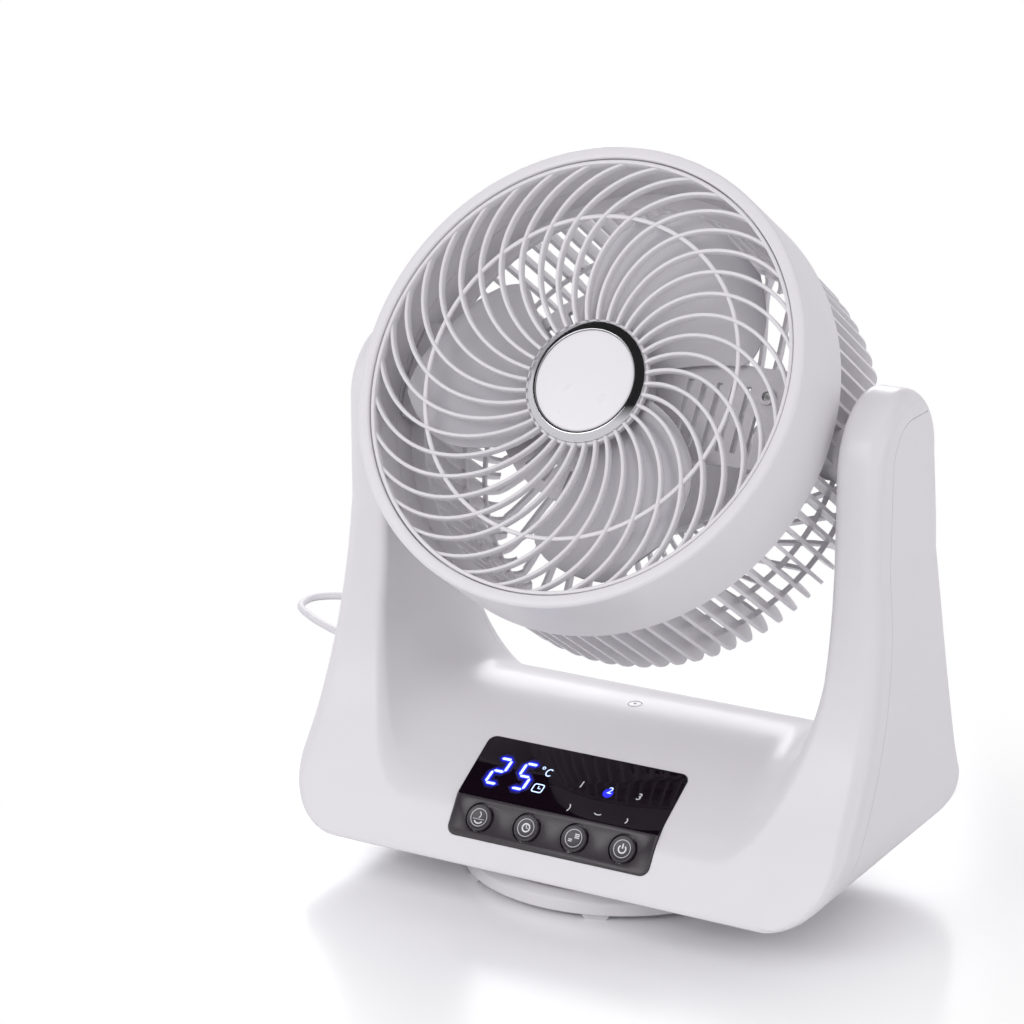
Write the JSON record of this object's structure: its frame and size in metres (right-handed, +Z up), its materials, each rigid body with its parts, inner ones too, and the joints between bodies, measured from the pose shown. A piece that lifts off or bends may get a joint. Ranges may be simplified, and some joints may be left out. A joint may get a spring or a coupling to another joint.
{
  "type": "desk air circulator fan",
  "caption": "Drum-shaped air circulator that tilts in a U-shaped yoke on a round swivel foot, with a glossy display panel and round buttons.",
  "frame": {"origin": "on the table under the middle of the fan, on the swivel axis", "axes": "+Z up, -Y towards the front where the air blows, +X to the right seen from the front"},
  "size_m": [0.5589, 0.4233, 0.3918],
  "materials": {
    "housing": "satin moulded plastic, pale lilac grey",
    "inner_plastic": "matte moulded plastic, light grey",
    "impeller": "smooth moulded plastic, light grey",
    "badge": "smooth plastic, bare",
    "chrome": "polished chrome plating",
    "display_gloss": "gloss black panel with lit digits",
    "button_panel": "satin dark grey plastic with pale icons",
    "pad_rubber": "matte rubber",
    "nylon": "natural nylon",
    "steel": "turned steel",
    "motor": "die-cast motor can",
    "board": "green circuit board",
    "cord": "soft vinyl cord, off-white"
  },
  "bodies": {
    "stand": {"foot_plate": "housing", "foot_pad_1": "pad_rubber", "foot_pad_2": "pad_rubber", "foot_pad_3": "pad_rubber", "foot_pad_4": "pad_rubber", "foot_pad_5": "pad_rubber", "foot_pad_6": "pad_rubber", "swivel_spindle": "steel", "swivel_glide_ring": "nylon", "spindle_clip": "steel", "gear_spacer": "nylon", "swing_gear": "nylon", "strain_relief": "cord", "power_cord": "cord", "cord_coil": "cord", "plug_body": "cord", "plug_pin_1": "steel", "plug_pin_2": "steel"},
    "yoke": {"yoke_front_shell": "housing", "yoke_rear_shell": "housing", "bottom_cover": "housing", "cover_screw_1": "steel", "cover_screw_2": "steel", "cover_screw_3": "steel", "cover_screw_4": "steel", "display_lens": "display_gloss", "display_module": "board", "ir_window": "display_gloss", "button_strip": "button_panel", "button_board": "board", "power_board": "board", "swing_motor": "motor", "tilt_motor": "motor", "tilt_bush_left": "nylon", "tilt_bush_right": "nylon"},
    "swing_drive": {"swing_pinion": "nylon"},
    "tilt_drive": {"tilt_pinion": "nylon"},
    "head": {"front_ring": "housing", "front_grille": "housing", "badge_ring": "chrome", "badge_disc": "badge", "rear_cage": "housing", "motor_mount": "inner_plastic", "mount_screw_left": "steel", "mount_screw_right": "steel", "fan_motor": "motor", "tilt_shaft_left": "steel", "tilt_shaft_right": "steel", "tilt_washer_left": "nylon", "tilt_washer_right": "nylon", "tilt_gear": "nylon"},
    "fan": {"impeller": "impeller", "motor_shaft": "steel", "impeller_nut": "nylon"},
    "swing_key": {"swing_button": "button_panel"},
    "timer_key": {"timer_button": "button_panel"},
    "speed_key": {"speed_button": "button_panel"},
    "power_key": {"power_button": "button_panel"}
  },
  "joints": [
    {"name": "swing", "type": "hinge", "parent": "stand", "child": "yoke", "pos_m": [0, 0, 0.02], "axis": [0, 0, 1], "range_deg": [-40, 40]},
    {"name": "swing_pinion_spin", "type": "hinge", "parent": "yoke", "child": "swing_drive", "pos_m": [0, 0.04515, 0.043], "axis": [0, 0, 1], "range_deg": [-161, 161]},
    {"name": "tilt", "type": "hinge", "parent": "yoke", "child": "head", "pos_m": [0, 0.012, 0.2447], "axis": [-1, 0, 0], "range_deg": [-32.7, 57.3]},
    {"name": "tilt_pinion_spin", "type": "hinge", "parent": "yoke", "child": "tilt_drive", "pos_m": [0.143, 0.02395, 0.224], "axis": [-1, 0, 0], "range_deg": [-161, 92]},
    {"name": "fan_spin", "type": "hinge", "parent": "head", "child": "fan", "pos_m": [0, 0.012, 0.2447], "axis": [0, -0.8415, 0.5402], "continuous": true},
    {"name": "swing_press", "type": "slide", "parent": "yoke", "child": "swing_key", "axis": [0, 0.8358, -0.549], "range_m": [0, 0.0012], "stiffness_N_per_m": 500, "springref_m": -0.0006},
    {"name": "timer_press", "type": "slide", "parent": "yoke", "child": "timer_key", "axis": [0, 0.8358, -0.549], "range_m": [0, 0.0012], "stiffness_N_per_m": 500, "springref_m": -0.0006},
    {"name": "speed_press", "type": "slide", "parent": "yoke", "child": "speed_key", "axis": [0, 0.8358, -0.549], "range_m": [0, 0.0012], "stiffness_N_per_m": 500, "springref_m": -0.0006},
    {"name": "power_press", "type": "slide", "parent": "yoke", "child": "power_key", "axis": [0, 0.8358, -0.549], "range_m": [0, 0.0012], "stiffness_N_per_m": 500, "springref_m": -0.0006}
  ],
  "couplings": [
    {"joint": "swing_pinion_spin", "follows": "swing", "ratio": 4},
    {"joint": "tilt_pinion_spin", "follows": "tilt", "ratio": -2.8}
  ]
}
